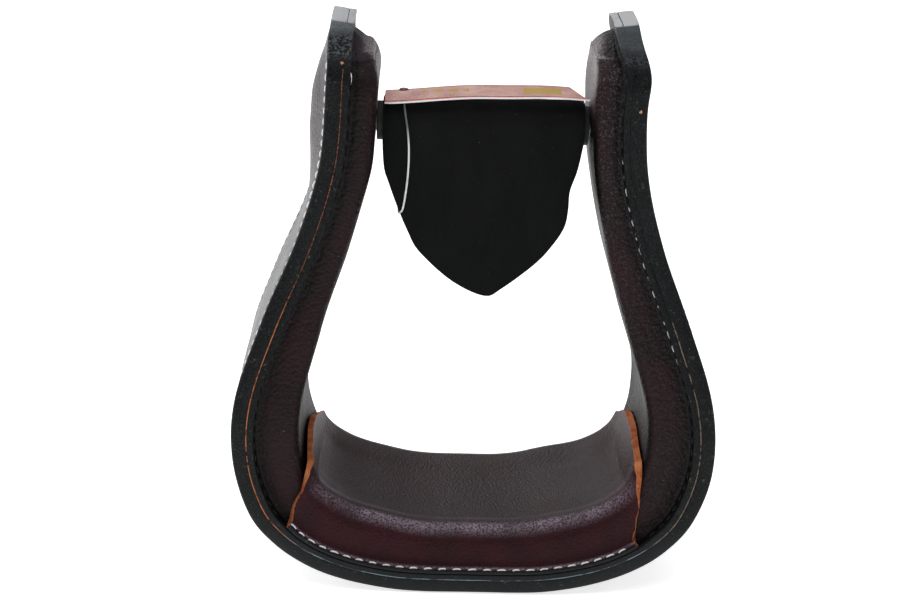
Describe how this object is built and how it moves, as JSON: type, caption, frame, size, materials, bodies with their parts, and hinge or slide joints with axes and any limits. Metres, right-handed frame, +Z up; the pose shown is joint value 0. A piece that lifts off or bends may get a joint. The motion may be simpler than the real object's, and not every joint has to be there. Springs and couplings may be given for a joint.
{
  "type": "western stirrup",
  "caption": "Leather-covered bentwood western stirrup with a cushioned wide tread, a bolt and roller across the neck, and a folded leather flap that carries a hang card.",
  "frame": {"origin": "on the floor under the middle of the tread: the centre of the foot flat that the stirrup stands on", "axes": "+X across the stirrup along the bar, towards the nut; +Y front to back, through the foot opening; +Z up, from the tread to the tabs"},
  "size_m": [0.1816, 0.076, 0.22],
  "materials": {
    "outer_leather": "burnished black edge, waxed dark brown face",
    "inner_leather": "waxed dark burgundy-brown, fine grain",
    "tread_leather": "satin, rubbed grainy ridge, raw tan ends",
    "flap_leather": "matte near-black suede",
    "bow_wood": "steam-bent, sanded",
    "block_wood": "planed",
    "steel": "zinc plated",
    "roller_plastic": "smooth moulded",
    "bush_plastic": "smooth moulded",
    "card": "dusty burgundy face, white core",
    "loop_plastic": "clear",
    "lock_plastic": "dark, glossy"
  },
  "bodies": {
    "stirrup": {"outer_strap": "outer_leather", "inner_cover": "inner_leather", "tread_cover": "tread_leather", "wood_bow": "bow_wood", "tread_block": "block_wood", "block_screw_1": "steel", "block_screw_2": "steel", "block_screw_3": "steel", "block_screw_4": "steel", "bolt": "steel", "nut": "steel", "head_washer": "steel", "nut_washer": "steel"},
    "roller": {"roller": "roller_plastic", "bush_left": "bush_plastic", "bush_right": "bush_plastic"},
    "flap": {"flap": "flap_leather", "tag_card": "card", "tag_loop": "loop_plastic", "tag_lock": "lock_plastic"}
  },
  "joints": [
    {"name": "roller_spin", "type": "hinge", "parent": "stirrup", "child": "roller", "pos_m": [0, 0, 0.1785], "axis": [1, 0, 0], "continuous": true},
    {"name": "flap_swing", "type": "hinge", "parent": "stirrup", "child": "flap", "pos_m": [0, 0, 0.1785], "axis": [1, 0, 0], "range_deg": [-80, 80]}
  ]
}
